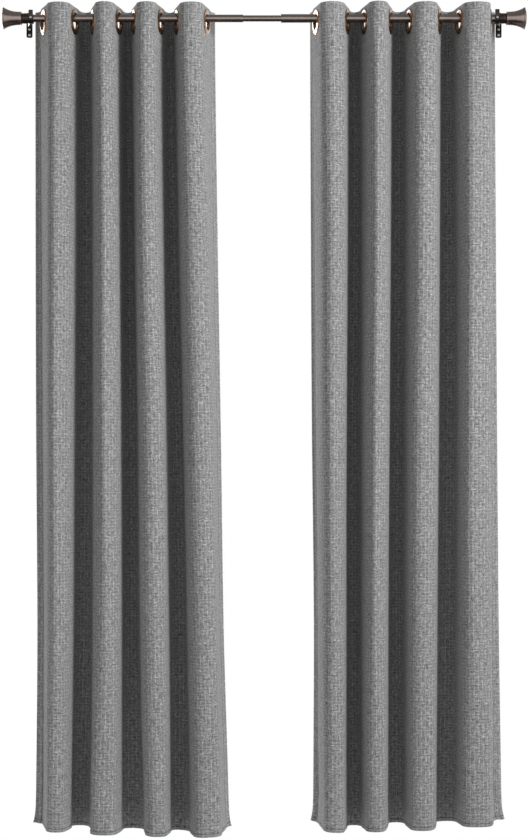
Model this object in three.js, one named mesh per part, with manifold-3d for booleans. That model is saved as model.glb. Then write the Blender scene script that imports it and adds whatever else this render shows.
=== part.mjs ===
// A pair of grommet-top curtain panels on a telescoping rod with two wall brackets.
// Millimetres, +X to the right, +Y into the wall, +Z up. The wall is the plane y = 0,
// the rod's axis is at z = 0, and x = 0 is midway between the brackets.
import * as THREE from "three";
import { mergeVertices } from "three/addons/utils/BufferGeometryUtils.js";
import Module from "manifold-3d";

const wasm = await Module();
wasm.setup();

// Clearances
const TOUCH_GAP = 0.3;
const RUNNING_GAP = 0.55;

// Rod: two outer tubes on one inner tube
const ROD_PROJECTION = 85;
const TUBE_WALL = 1.2;
const INNER_TUBE_DIAMETER = 16;
const LEFT_TUBE_DIAMETER = INNER_TUBE_DIAMETER + 2 * (RUNNING_GAP + TUBE_WALL);
const RIGHT_TUBE_DIAMETER = 22;
const LEFT_TUBE_MOUTH_X = -54;
const RIGHT_TUBE_MOUTH_X = 44;
const INNER_TUBE_OVERLAP = 160;
const BUSH_LENGTH = 14;

// Wall brackets
const BRACKET_X = 603.5;
const CRADLE_WIDTH = 11;
const CRADLE_WALL = 4;
const CRADLE_CLEARANCE = 0.5;
const CRADLE_FRONT_LIP = 10;
const CRADLE_BACK_LIP = 3;
const PLATE_OFFSET = 14;
const PLATE_WIDTH = 16;
const PLATE_HEIGHT = 66;
const PLATE_THICKNESS = 3;
const ARM_WIDTH = 8;
const ARM_HEIGHT = 12;
const WALL_SCREW_UPPER_Z = -11;
const WALL_SCREW_LOWER_Z = -26;
const WALL_SCREW_DIAMETER = 4;
const WALL_SCREW_HEAD_DIAMETER = 7.6;
const WALL_SCREW_HEAD_HEIGHT = 2.2;
const SET_SCREW_DIAMETER = 4;
const SET_SCREW_HEAD_DIAMETER = 7;
const SET_SCREW_HEAD_HEIGHT = 3;
const SCREW_HOLE_CLEARANCE = 0.4;
const SLOT_WIDTH = 1;
const SLOT_DEPTH = 0.9;

// End plugs and finials
const COLLAR_DIAMETER = 27;
const COLLAR_LENGTH = 18;
const COLLAR_GAP = 1;
const PLUG_LENGTH = 22;
const STUD_DIAMETER = 6;
const STUD_LENGTH = 24;
const FINIAL_LENGTH = 48;
const FINIAL_NECK_DIAMETER = 35;
const FINIAL_MOUTH_DIAMETER = 57;
const FINIAL_LIP = 3;
const FINIAL_DOME = 5;

// Panels
const PANEL_LENGTH = 2134;
const HEADER_ABOVE_GROMMET = 7;
const HEADER_BELOW_GROMMET = 14;
const FABRIC_THICKNESS = 1.8;
const FRONT_FOLD_DEPTH = 60;
const BACK_FOLD_DEPTH = 66;
const WALL_TILT = THREE.MathUtils.degToRad(13);
const CREST_END_ANGLE = THREE.MathUtils.degToRad(135);
const LEFT_PANEL = {
  name: "left",
  side: -1,
  tubeDiameter: LEFT_TUBE_DIAMETER,
  outerGrommetX: 570,
  outerTilt: THREE.MathUtils.degToRad(20),
  frontFolds: [78, 65, 67, 75],
  backFolds: [49, 42, 44],
  outerReturn: 29,
  leadReturn: 21,
  outerHemSpread: -7,
  leadHemSpread: 36,
};
const RIGHT_PANEL = {
  name: "right",
  side: 1,
  tubeDiameter: RIGHT_TUBE_DIAMETER,
  outerGrommetX: 586.5,
  outerTilt: THREE.MathUtils.degToRad(6),
  frontFolds: [79, 76, 65, 78],
  backFolds: [54, 51, 47],
  outerReturn: 20.5,
  leadReturn: 14.5,
  outerHemSpread: 14,
  leadHemSpread: -8,
};

// Grommets
const GROMMET_BORE = 40;
const GROMMET_OUTER = 66;
const GROMMET_THICKNESS = 9.6;
const BARREL_WALL = 3;
const GROMMET_SIDES = 20;

// Cloth held flat by a grommet, and the edge of the next pleat, which a fold reaches over
const WALL_HALF = GROMMET_OUTER / 2 + 1;
const TAIL_DEPTH = WALL_HALF + 3;

// Facets on round pieces
const TUBE_SIDES = 28;
const FINIAL_SIDES = 24;
const SCREW_SIDES = 14;
const CREST_STEPS = 8;

const bronze = new THREE.MeshStandardMaterial({ color: 0x4a4038, roughness: 0.35, metalness: 0.9 });
const darkBronze = new THREE.MeshStandardMaterial({ color: 0x2a2421, roughness: 0.5, metalness: 0.8 });
const copperBronze = new THREE.MeshStandardMaterial({ color: 0x5b4a3a, roughness: 0.35, metalness: 0.9 });
const steel = new THREE.MeshStandardMaterial({ color: 0xb9b7b2, roughness: 0.3, metalness: 1.0 });
const nylon = new THREE.MeshStandardMaterial({ color: 0x26241f, roughness: 0.6, metalness: 0.0 });
const tweed = new THREE.MeshStandardMaterial({ color: 0x868686, roughness: 0.95, metalness: 0.0 });

const curtain = new THREE.Group();

function addPart(name, geometry, material, parent = curtain) {
  const mesh = new THREE.Mesh(geometry, material.clone());
  mesh.name = name;
  parent.add(mesh);
  return mesh;
}

// Solids for cutting and joining
function solidOf(geometry) {
  const bare = geometry.clone();
  bare.deleteAttribute("normal");
  bare.deleteAttribute("uv");
  const merged = mergeVertices(bare, 1e-4);
  return new wasm.Manifold(
    new wasm.Mesh({
      numProp: 3,
      vertProperties: new Float32Array(merged.attributes.position.array),
      triVerts: new Uint32Array(merged.index.array),
    }),
  );
}

function geometryOf(solid) {
  const mesh = solid.getMesh();
  const geometry = new THREE.BufferGeometry();
  geometry.setAttribute("position", new THREE.BufferAttribute(new Float32Array(mesh.vertProperties), 3));
  geometry.setIndex(new THREE.BufferAttribute(new Uint32Array(mesh.triVerts), 1));
  return geometry;
}

// A turned piece along +X: points are [radius, distance along the axis].
function turned(points, sides) {
  const outline = points.map(([radius, along]) => new THREE.Vector2(radius, along));
  const geometry = new THREE.LatheGeometry(outline, sides);
  geometry.rotateZ(-Math.PI / 2);
  return geometry;
}

// A plate drawn in a plane and given a thickness, centred on that plane.
function plate(points, thickness, holes = []) {
  const shape = new THREE.Shape(points.map(([x, y]) => new THREE.Vector2(x, y)));
  for (const { x, y, radius } of holes) {
    const hole = new THREE.Path();
    hole.absarc(x, y, radius, 0, 2 * Math.PI, true);
    shape.holes.push(hole);
  }
  const geometry = new THREE.ExtrudeGeometry(shape, {
    depth: thickness,
    bevelEnabled: false,
    curveSegments: SCREW_SIDES,
  });
  geometry.translate(0, 0, -thickness / 2);
  return geometry;
}

function arcPoints(centreX, centreY, radius, fromAngle, toAngle, steps) {
  const points = [];
  for (let step = 0; step <= steps; step++) {
    const angle = fromAngle + ((toAngle - fromAngle) * step) / steps;
    points.push([centreX + radius * Math.cos(angle), centreY + radius * Math.sin(angle)]);
  }
  return points;
}

// Rod
function tube(diameter, fromX, toX) {
  const outer = diameter / 2;
  const inner = outer - TUBE_WALL;
  const profile = [
    [inner, fromX],
    [outer, fromX],
    [outer, toX],
    [inner, toX],
    [inner, fromX],
  ];
  const geometry = turned(profile, TUBE_SIDES);
  geometry.translate(0, -ROD_PROJECTION, 0);
  return geometry;
}

function tubeEndX() {
  return BRACKET_X + CRADLE_WIDTH / 2 + COLLAR_GAP - TOUCH_GAP;
}

function addRod() {
  addPart("left_outer_tube", tube(LEFT_TUBE_DIAMETER, -tubeEndX(), LEFT_TUBE_MOUTH_X), bronze);
  addPart("right_outer_tube", tube(RIGHT_TUBE_DIAMETER, RIGHT_TUBE_MOUTH_X, tubeEndX()), bronze);
  const innerFromX = LEFT_TUBE_MOUTH_X - INNER_TUBE_OVERLAP;
  const innerToX = RIGHT_TUBE_MOUTH_X + INNER_TUBE_OVERLAP;
  addPart("inner_tube", tube(INNER_TUBE_DIAMETER, innerFromX, innerToX), bronze);

  const bushOuter = RIGHT_TUBE_DIAMETER / 2 - TUBE_WALL - TOUCH_GAP;
  const bushInner = INNER_TUBE_DIAMETER / 2 + TOUCH_GAP;
  const bushStart = RIGHT_TUBE_MOUTH_X + 1;
  const bush = turned(
    [
      [bushInner, bushStart],
      [bushOuter, bushStart],
      [bushOuter, bushStart + BUSH_LENGTH],
      [bushInner, bushStart + BUSH_LENGTH],
      [bushInner, bushStart],
    ],
    TUBE_SIDES,
  );
  bush.translate(0, -ROD_PROJECTION, 0);
  addPart("guide_bush", bush, nylon);
}

// Finials and the plugs that they screw into: built for the right end, turned round for the left.
function collarStartX() {
  return BRACKET_X + CRADLE_WIDTH / 2 + COLLAR_GAP;
}

function endPlug(tubeDiameter) {
  const start = collarStartX();
  const collar = COLLAR_DIAMETER / 2;
  const plug = tubeDiameter / 2 - TUBE_WALL - TOUCH_GAP;
  const bore = STUD_DIAMETER / 2 + TOUCH_GAP;
  return turned(
    [
      [bore, start - PLUG_LENGTH],
      [plug, start - PLUG_LENGTH],
      [plug, start],
      [collar - 1, start],
      [collar, start + 1],
      [collar, start + COLLAR_LENGTH - 1],
      [collar - 1, start + COLLAR_LENGTH],
      [bore, start + COLLAR_LENGTH],
      [bore, start - PLUG_LENGTH],
    ],
    FINIAL_SIDES,
  );
}

function finial() {
  const start = collarStartX() + COLLAR_LENGTH + TOUCH_GAP;
  const stud = STUD_DIAMETER / 2;
  const neck = FINIAL_NECK_DIAMETER / 2;
  const mouth = FINIAL_MOUTH_DIAMETER / 2;
  const flareLength = FINIAL_LENGTH - FINIAL_LIP;
  const flare = [0, 0.3, 0.55, 0.78, 1].map((share) => [
    neck + (mouth - neck) * share ** 2.7,
    start + flareLength * share,
  ]);
  return turned(
    [
      [0, start - STUD_LENGTH],
      [stud, start - STUD_LENGTH],
      [stud, start],
      ...flare,
      [mouth - 1, start + FINIAL_LENGTH],
      [mouth * 0.6, start + FINIAL_LENGTH + FINIAL_DOME * 0.7],
      [0, start + FINIAL_LENGTH + FINIAL_DOME],
    ],
    FINIAL_SIDES,
  );
}

function addRodEnd(name, side, tubeDiameter) {
  const end = new THREE.Group();
  end.position.set(0, -ROD_PROJECTION, 0);
  end.rotation.z = side > 0 ? 0 : Math.PI;
  curtain.add(end);
  addPart(`${name}_end_plug`, endPlug(tubeDiameter), darkBronze, end);
  addPart(`${name}_finial`, finial(), bronze, end);
}

// Wall brackets
function cradle(tubeDiameter) {
  const inner = tubeDiameter / 2 + CRADLE_CLEARANCE;
  const outer = inner + CRADLE_WALL;
  const frontTop = tubeDiameter / 2 + CRADLE_FRONT_LIP;
  const backTop = tubeDiameter / 2 + CRADLE_BACK_LIP;
  // Drawn with the wall towards +x and the top towards +y.
  const outline = [
    ...arcPoints(0, 0, outer, Math.PI, 2 * Math.PI, 12),
    [outer, backTop],
    [inner, backTop],
    ...arcPoints(0, 0, inner, 2 * Math.PI, Math.PI, 12),
    [-inner, frontTop - CRADLE_WALL],
    [-inner - 1, frontTop],
    [-outer, frontTop],
  ];
  const geometry = plate(outline, CRADLE_WIDTH);
  geometry.rotateX(Math.PI / 2);
  geometry.rotateZ(Math.PI / 2);
  return geometry;
}

function bracket(side, tubeDiameter) {
  const hook = cradle(tubeDiameter);
  hook.translate(side * BRACKET_X, -ROD_PROJECTION, 0);

  const plateX = side * (BRACKET_X + PLATE_OFFSET);
  const corner = 4;
  const halfWidth = PLATE_WIDTH / 2;
  const halfHeight = PLATE_HEIGHT / 2;
  const plateOutline = [
    ...arcPoints(halfWidth - corner, halfHeight - corner, corner, 0, Math.PI / 2, 3),
    ...arcPoints(-halfWidth + corner, halfHeight - corner, corner, Math.PI / 2, Math.PI, 3),
    ...arcPoints(-halfWidth + corner, -halfHeight + corner, corner, Math.PI, 1.5 * Math.PI, 3),
    ...arcPoints(halfWidth - corner, -halfHeight + corner, corner, 1.5 * Math.PI, 2 * Math.PI, 3),
  ];
  const holeRadius = WALL_SCREW_DIAMETER / 2 + SCREW_HOLE_CLEARANCE;
  const holes = [WALL_SCREW_UPPER_Z, WALL_SCREW_LOWER_Z].map((z) => ({ x: 0, y: z, radius: holeRadius }));
  const flange = plate(plateOutline, PLATE_THICKNESS, holes);
  flange.rotateX(Math.PI / 2);
  flange.translate(plateX, -PLATE_THICKNESS / 2, 0);

  // The arm runs from the plate to the back of the cradle, and steps sideways on its way.
  const cradleBackY = -ROD_PROJECTION + tubeDiameter / 2 + CRADLE_CLEARANCE + CRADLE_WALL / 2;
  const cradleX = side * BRACKET_X;
  const half = ARM_WIDTH / 2;
  const arm = plate(
    [
      [plateX - half, -PLATE_THICKNESS / 2],
      [cradleX - half, cradleBackY],
      [cradleX + half, cradleBackY],
      [plateX + half, -PLATE_THICKNESS / 2],
    ],
    ARM_HEIGHT,
  );

  const screwHole = new THREE.CylinderGeometry(
    SET_SCREW_DIAMETER / 2 + SCREW_HOLE_CLEARANCE,
    SET_SCREW_DIAMETER / 2 + SCREW_HOLE_CLEARANCE,
    4 * CRADLE_WALL,
    SCREW_SIDES,
  );
  screwHole.translate(cradleX, -ROD_PROJECTION - tubeDiameter / 2 - CRADLE_WALL, 0);

  return geometryOf(solidOf(hook).add(solidOf(arm)).add(solidOf(flange)).subtract(solidOf(screwHole)));
}

// A slotted round-head screw: head towards -Y, tip towards +Y, underside of the head at y = 0.
function screw(diameter, headDiameter, headHeight, length) {
  const body = turned(
    [
      [0, -headHeight],
      [headDiameter * 0.32, -headHeight],
      [headDiameter * 0.46, -headHeight * 0.6],
      [headDiameter / 2, 0],
      [diameter / 2, 0],
      [diameter / 2, length - 1],
      [diameter / 4, length],
      [0, length],
    ],
    SCREW_SIDES,
  );
  body.rotateZ(Math.PI / 2);
  const slot = new THREE.BoxGeometry(headDiameter * 1.2, 2 * SLOT_DEPTH, SLOT_WIDTH);
  slot.translate(0, -headHeight, 0);
  return geometryOf(solidOf(body).subtract(solidOf(slot)));
}

function addBracket(name, side, tubeDiameter) {
  addPart(`${name}_wall_bracket`, bracket(side, tubeDiameter), darkBronze);

  const wallScrews = { upper: WALL_SCREW_UPPER_Z, lower: WALL_SCREW_LOWER_Z };
  for (const [place, z] of Object.entries(wallScrews)) {
    const wallScrew = addPart(
      `${name}_wall_screw_${place}`,
      screw(
        WALL_SCREW_DIAMETER,
        WALL_SCREW_HEAD_DIAMETER,
        WALL_SCREW_HEAD_HEIGHT,
        PLATE_THICKNESS,
      ),
      steel,
    );
    wallScrew.position.set(side * (BRACKET_X + PLATE_OFFSET), -PLATE_THICKNESS - TOUCH_GAP, z);
  }

  const cradleFrontY = -ROD_PROJECTION - tubeDiameter / 2 - CRADLE_CLEARANCE - CRADLE_WALL;
  const setScrewReach = CRADLE_WALL + CRADLE_CLEARANCE;
  const setScrew = addPart(
    `${name}_set_screw`,
    screw(SET_SCREW_DIAMETER, SET_SCREW_HEAD_DIAMETER, SET_SCREW_HEAD_HEIGHT, setScrewReach),
    steel,
  );
  setScrew.position.set(side * BRACKET_X, cradleFrontY - TOUCH_GAP, 0);
}

// Grommets: each hangs with the top of its bore on the tube.
function grommet() {
  const bore = GROMMET_BORE / 2;
  const outer = GROMMET_OUTER / 2;
  const barrel = bore + BARREL_WALL;
  const half = GROMMET_THICKNESS / 2;
  const cloth = FABRIC_THICKNESS / 2 + TOUCH_GAP;
  return turned(
    [
      [bore, -half + 1],
      [barrel, -half],
      [outer - 3, -half],
      [outer, -cloth],
      [barrel, -cloth],
      [barrel, cloth],
      [outer, cloth],
      [outer - 3, half],
      [barrel, half],
      [bore, half - 1],
      [bore, -half + 1],
    ],
    GROMMET_SIDES,
  );
}

function grommetCentreZ(panel) {
  const boreAtFlat = (GROMMET_BORE / 2) * Math.cos(Math.PI / GROMMET_SIDES);
  return panel.tubeDiameter / 2 + TOUCH_GAP - boreAtFlat;
}

function headerTopZ(panel) {
  return grommetCentreZ(panel) + GROMMET_OUTER / 2 + HEADER_ABOVE_GROMMET;
}

// Distances of a panel's grommets from x = 0, from its outer edge to its leading edge.
function grommetDistances(panel) {
  const distances = [panel.outerGrommetX];
  for (let fold = 0; fold < panel.frontFolds.length; fold++) {
    distances.push(distances.at(-1) - panel.frontFolds[fold]);
    if (fold < panel.backFolds.length) distances.push(distances.at(-1) - panel.backFolds[fold]);
  }
  return distances;
}

// The outermost wall of a panel has no neighbour beyond it, and opens out as far as its bracket lets it.
function wallTilt(panel, index) {
  return index === 0 ? panel.outerTilt : WALL_TILT;
}

function wallLean(panel, index) {
  return WALL_HALF * Math.tan(wallTilt(panel, index));
}

// One pleat of a panel, seen from above, as a centre line of [distance from x = 0, depth in front
// of the rod]. It runs from inside the pleat before it, straight through its grommet, and round
// the next fold. The first and last pleats end in the panel's two side hems, behind the rod.
function pleatLine(panel, index) {
  const distances = grommetDistances(panel);
  const last = distances.length - 1;
  const towardsFront = index % 2 === 0 ? 1 : -1;
  const here = distances[index];
  const lean = wallLean(panel, index);
  const line = [];
  if (index === 0) {
    line.push([here + panel.outerReturn, -BACK_FOLD_DEPTH]);
    line.push([here + lean, -WALL_HALF]);
  } else {
    const tailLean = lean * (TAIL_DEPTH / WALL_HALF);
    line.push([here + tailLean, -towardsFront * TAIL_DEPTH]);
  }
  line.push([here, 0]);
  if (index === last) {
    line.push([here - lean, -WALL_HALF]);
    line.push([here - panel.leadReturn, -BACK_FOLD_DEPTH]);
    return line;
  }
  const foldDepth = towardsFront > 0 ? FRONT_FOLD_DEPTH : BACK_FOLD_DEPTH;
  const crestDepth = foldDepth - WALL_HALF;
  const crestStart = here - lean;
  const crestEnd = distances[index + 1] + wallLean(panel, index + 1);
  const crestHalf = (crestStart - crestEnd) / 2;
  const middle = (crestStart + crestEnd) / 2;
  for (let step = 0; step <= CREST_STEPS; step++) {
    const angle = (CREST_END_ANGLE * step) / CREST_STEPS;
    const across = middle + crestHalf * Math.cos(angle);
    const depth = towardsFront * (WALL_HALF + crestDepth * Math.sin(angle));
    line.push([across, depth]);
  }
  return line;
}

// The closed outline of a line of cloth, one fabric thickness wide.
function clothOutline(line) {
  const half = FABRIC_THICKNESS / 2;
  const leftSide = [];
  const rightSide = [];
  line.forEach((point, index) => {
    const before = line[Math.max(index - 1, 0)];
    const after = line[Math.min(index + 1, line.length - 1)];
    const direction = new THREE.Vector2(after[0] - before[0], after[1] - before[1]).normalize();
    leftSide.push(new THREE.Vector2(point[0] - direction.y * half, point[1] + direction.x * half));
    rightSide.unshift(new THREE.Vector2(point[0] + direction.y * half, point[1] - direction.x * half));
  });
  return [...leftSide, ...rightSide];
}

// A hanging wall of cloth through like outlines at falling heights.
function hangingCloth(rows) {
  const count = rows[0].outline.length;
  const positions = [];
  for (const { outline, z } of rows) {
    for (const point of outline) positions.push(point.x, point.y, z);
  }
  const faces = [];
  for (let row = 0; row < rows.length - 1; row++) {
    for (let corner = 0; corner < count; corner++) {
      const upper = row * count + corner;
      const upperNext = row * count + ((corner + 1) % count);
      faces.push([upper, upper + count, upperNext], [upperNext, upper + count, upperNext + count]);
    }
  }
  const lowest = (rows.length - 1) * count;
  for (const [a, b, c] of THREE.ShapeUtils.triangulateShape(rows[0].outline, [])) {
    faces.push([a, b, c], [c + lowest, b + lowest, a + lowest]);
  }
  const geometry = new THREE.BufferGeometry();
  geometry.setAttribute("position", new THREE.BufferAttribute(new Float32Array(positions), 3));
  geometry.setIndex(faces.flat());
  return geometry;
}

// How far a point of the hem stands further out than the header above it.
function hemShift(panel, distance) {
  const outerEdge = panel.outerGrommetX + panel.outerReturn;
  const leadEdge = grommetDistances(panel).at(-1) - panel.leadReturn;
  const share = (outerEdge - distance) / (outerEdge - leadEdge);
  return panel.outerHemSpread * (1 - share) - panel.leadHemSpread * share;
}

function pleat(panel, index) {
  const header = clothOutline(pleatLine(panel, index));
  const place = (point, shift) =>
    new THREE.Vector2(panel.side * (point.x + shift), -ROD_PROJECTION - point.y);
  let headerOutline = header.map((point) => place(point, 0));
  let hemOutline = header.map((point) => place(point, hemShift(panel, point.x)));
  if (THREE.ShapeUtils.isClockWise(headerOutline)) {
    headerOutline = headerOutline.reverse();
    hemOutline = hemOutline.reverse();
  }
  const cloth = hangingCloth([
    { outline: headerOutline, z: headerTopZ(panel) },
    { outline: headerOutline, z: grommetCentreZ(panel) - GROMMET_OUTER / 2 - HEADER_BELOW_GROMMET },
    { outline: hemOutline, z: headerTopZ(panel) - PANEL_LENGTH },
  ]);
  const holeRadius = GROMMET_BORE / 2 + BARREL_WALL + TOUCH_GAP;
  const hole = new THREE.CylinderGeometry(holeRadius, holeRadius, GROMMET_THICKNESS, GROMMET_SIDES);
  hole.rotateZ(Math.PI / 2);
  hole.rotateZ(grommetYaw(panel, index));
  hole.translate(panel.side * grommetDistances(panel)[index], -ROD_PROJECTION, grommetCentreZ(panel));
  return geometryOf(solidOf(cloth).subtract(solidOf(hole)));
}

function grommetYaw(panel, index) {
  const towardsFront = index % 2 === 0 ? 1 : -1;
  return -panel.side * towardsFront * wallTilt(panel, index);
}

function addPanel(panel) {
  grommetDistances(panel).forEach((distance, index) => {
    addPart(`${panel.name}_panel_pleat_${index + 1}`, pleat(panel, index), tweed);
    const ring = addPart(`${panel.name}_grommet_${index + 1}`, grommet(), copperBronze);
    ring.position.set(panel.side * distance, -ROD_PROJECTION, grommetCentreZ(panel));
    ring.rotation.z = grommetYaw(panel, index);
  });
}

addRod();
addRodEnd("left", -1, LEFT_TUBE_DIAMETER);
addRodEnd("right", 1, RIGHT_TUBE_DIAMETER);
addBracket("left", -1, LEFT_TUBE_DIAMETER);
addBracket("right", 1, RIGHT_TUBE_DIAMETER);
addPanel(LEFT_PANEL);
addPanel(RIGHT_PANEL);

export default curtain;
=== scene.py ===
import math

import bmesh
import bpy
import numpy as np
from mathutils import Matrix, Vector


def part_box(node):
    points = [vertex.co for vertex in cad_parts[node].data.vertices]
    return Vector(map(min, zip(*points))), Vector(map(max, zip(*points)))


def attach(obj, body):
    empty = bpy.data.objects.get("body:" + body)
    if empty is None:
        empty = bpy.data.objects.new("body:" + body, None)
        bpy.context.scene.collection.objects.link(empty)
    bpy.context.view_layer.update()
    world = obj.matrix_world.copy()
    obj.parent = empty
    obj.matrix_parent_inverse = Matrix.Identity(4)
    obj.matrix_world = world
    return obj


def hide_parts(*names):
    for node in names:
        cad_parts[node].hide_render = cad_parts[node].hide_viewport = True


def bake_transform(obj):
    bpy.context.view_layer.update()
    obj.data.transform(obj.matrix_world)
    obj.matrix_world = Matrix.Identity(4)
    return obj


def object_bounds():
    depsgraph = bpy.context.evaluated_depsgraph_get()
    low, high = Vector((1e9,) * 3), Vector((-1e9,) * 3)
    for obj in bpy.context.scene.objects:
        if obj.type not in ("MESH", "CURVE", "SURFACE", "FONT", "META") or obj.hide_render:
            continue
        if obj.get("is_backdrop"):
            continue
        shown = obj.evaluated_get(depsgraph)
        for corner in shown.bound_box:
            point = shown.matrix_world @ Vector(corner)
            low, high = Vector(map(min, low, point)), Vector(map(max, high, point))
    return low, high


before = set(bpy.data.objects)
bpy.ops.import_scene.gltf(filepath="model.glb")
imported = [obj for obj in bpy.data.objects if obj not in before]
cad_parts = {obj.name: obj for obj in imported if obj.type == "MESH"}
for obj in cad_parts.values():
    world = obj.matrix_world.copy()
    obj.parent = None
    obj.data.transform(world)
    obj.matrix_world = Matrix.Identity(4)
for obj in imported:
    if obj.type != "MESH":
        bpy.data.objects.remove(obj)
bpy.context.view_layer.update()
scene = bpy.context.scene

# The pair of panels, in metres. Distances along the rod are measured from x = 0 outwards.
ROD_Y = sum(corner.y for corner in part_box("inner_tube")) / 2
GROMMET_COUNT = 8
GROMMET_RADIUS = 0.033
BORE_RADIUS = 0.020
WALL_TILT = math.radians(13)
PANEL_WIDTH = 1.27
GROMMET_PITCH = PANEL_WIDTH / GROMMET_COUNT
EDGE_MARGIN = GROMMET_PITCH / 2
HEADER_DEPTH = 0.100
SIDE_HEM = 0.025
BOTTOM_HEM = 0.0085
CLOTH_HALF = 0.0006
HEMMED_HALF = 0.0012
HOLE_RADIUS = 0.0255
BARREL_RADIUS = 0.0232
HEADER_END = 0.06
FLAT_AT_HEADER = 0.034
FLAT_LOST_BELOW = 0.013
LINE_STEP = 0.002
SETTLE_LIMIT = 0.007
WARP_PITCH = 0.0027
WEFT_PITCH = 0.0029

# Rod, its ends and the screws
TUBE_WALL = 0.0012
BUSH_CLEARANCE = 0.0003
PLUG_CLEARANCE = 0.0015
PLUG_BORE_RADIUS = 0.0033
COLLAR_LENGTH = 0.018
COLLAR_GROOVE = 0.0007
STUD_RADIUS = 0.003
STUD_LENGTH = 0.024
FINIAL_NECK_RADIUS = 0.0175
FINIAL_DOME = 0.005
FINIAL_LIP = 0.003
FINIAL_FLARE = 2.7
SCREW_SHANK_RADIUS = 0.002
THREAD_PITCH = 0.0007
HEAD_HEIGHT = {"wall": 0.0022, "set": 0.003}
SHARP_ANGLE = math.radians(40)

# Floor and camera
FLOOR_GAP = 0.085
CAMERA_DISTANCE = 5.318
CAMERA_Z = -1.163
CAMERA_LENS = 87.9
CAMERA_RISE = 0.055952381

# Where the eight walls of cloth and the two side edges stand at each quarter of the height, from
# header to hem, and how much higher than level the hem hangs at the outer edge, at each fold's
# middle in turn and at the leading edge. The grommets say where the walls stand at the header.
# Each front fold has a soft pressed crease: its place from the fold's left, and how sharp it is.
PANELS = {
    "left": {
        "side": -1,
        "outer_tilt": math.radians(20),
        "walls": [
            [0.5691, 0.4933, 0.4405, 0.3735, 0.3322, 0.2651, 0.2129, 0.1378],
            [0.5680, 0.4980, 0.4402, 0.3720, 0.3240, 0.2517, 0.2014, 0.1260],
            [0.5666, 0.5011, 0.4425, 0.3720, 0.3161, 0.2462, 0.1914, 0.1148],
            [0.5650, 0.5096, 0.4535, 0.3760, 0.3005, 0.2500, 0.1815, 0.1040],
        ],
        "outer_edge": [0.6000, 0.5995, 0.5980, 0.5950, 0.5985],
        "lead_edge": [0.1290, 0.1225, 0.1140, 0.1065, 0.0920],
        "hem_rise": [0.009, 0.004, 0.001, -0.005, -0.006, -0.007, -0.012, -0.011, -0.003],
        "creases": [(0.40, 0.50), (0.43, 0.60), (0.45, 0.12), (0.42, 0.10)],
        "phase": 0.35,
    },
    "right": {
        "side": 1,
        "outer_tilt": math.radians(6),
        "walls": [
            [0.5894, 0.5106, 0.4522, 0.3769, 0.3263, 0.2619, 0.2139, 0.1425],
            [0.5885, 0.5095, 0.4508, 0.3730, 0.3231, 0.2590, 0.2095, 0.1450],
            [0.5874, 0.5072, 0.4475, 0.3692, 0.3192, 0.2587, 0.2081, 0.1475],
            [0.5860, 0.5080, 0.4390, 0.3736, 0.3181, 0.2585, 0.2113, 0.1500],
        ],
        "outer_edge": [0.6065, 0.6090, 0.6120, 0.6160, 0.6225],
        "lead_edge": [0.1220, 0.1235, 0.1262, 0.1315, 0.1297],
        "hem_rise": [0.017, 0.015, 0.0115, 0.005, 0.0075, 0.004, -0.002, 0.001, 0.011],
        "creases": [(0.26, 0.45), (0.42, 0.20), (0.43, 0.60), (0.45, 0.30)],
        "phase": 2.1,
    },
}


# Meshes
def piece_of(name, mesh):
    piece = bpy.data.objects.new(name, mesh)
    scene.collection.objects.link(piece)
    return piece


def mesh_of(name, points, faces):
    mesh = bpy.data.meshes.new(name)
    mesh.from_pydata([tuple(point) for point in points], [], faces)
    mesh.update()
    mesh.shade_smooth()
    return mesh


def evaluated_mesh(piece):
    bpy.context.view_layer.update()
    depsgraph = bpy.context.evaluated_depsgraph_get()
    return bpy.data.meshes.new_from_object(piece.evaluated_get(depsgraph))


def filleted(corners, steps=5):
    """A profile of (radius, along, fillet) corners with each fillet turned into an arc, and a wear value."""
    points, wear = [], []
    count = len(corners)
    for index, (radius, along, fillet) in enumerate(corners):
        here = np.array([radius, along])
        if fillet == 0:
            points.append(here)
            wear.append(0.0)
            continue
        before = np.array(corners[index - 1][:2]) - here
        after = np.array(corners[(index + 1) % count][:2]) - here
        before_length, after_length = np.linalg.norm(before), np.linalg.norm(after)
        before, after = before / before_length, after / after_length
        half_angle = math.acos(max(-1.0, min(1.0, float(before @ after)))) / 2
        reach = min(fillet / math.tan(half_angle), before_length * 0.49, after_length * 0.49)
        start, end = here + before * reach, here + after * reach
        for step in range(steps + 1):
            share = step / steps
            points.append((1 - share) ** 2 * start + 2 * share * (1 - share) * here + share**2 * end)
            wear.append(math.sin(math.pi * share))
    return points, wear


def turned_mesh(name, corners, sides, closed):
    """A body turned about the X axis. An open profile starts and ends on the axis."""
    profile, wear = filleted(corners)
    rows = len(profile)
    builder = bmesh.new()
    worn = builder.verts.layers.float.new("wear")
    rings = []
    for (radius, along), amount in zip(profile, wear):
        on_axis = radius < 1e-7
        ring = []
        for side in range(1 if on_axis else sides):
            angle = 2 * math.pi * side / sides
            vertex = builder.verts.new((along, radius * math.cos(angle), radius * math.sin(angle)))
            vertex[worn] = amount
            ring.append(vertex)
        rings.append(ring)
    for row in range(rows if closed else rows - 1):
        here, there = rings[row], rings[(row + 1) % rows]
        for side in range(sides):
            after = (side + 1) % sides
            corners_of_face = [
                here[side % len(here)],
                here[after % len(here)],
                there[after % len(there)],
                there[side % len(there)],
            ]
            builder.faces.new(list(dict.fromkeys(corners_of_face)))
    bmesh.ops.recalc_face_normals(builder, faces=builder.faces)
    mesh = bpy.data.meshes.new(name)
    builder.to_mesh(mesh)
    builder.free()
    mesh.shade_smooth()
    mesh.set_sharp_from_angle(angle=SHARP_ANGLE)
    return mesh


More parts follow.
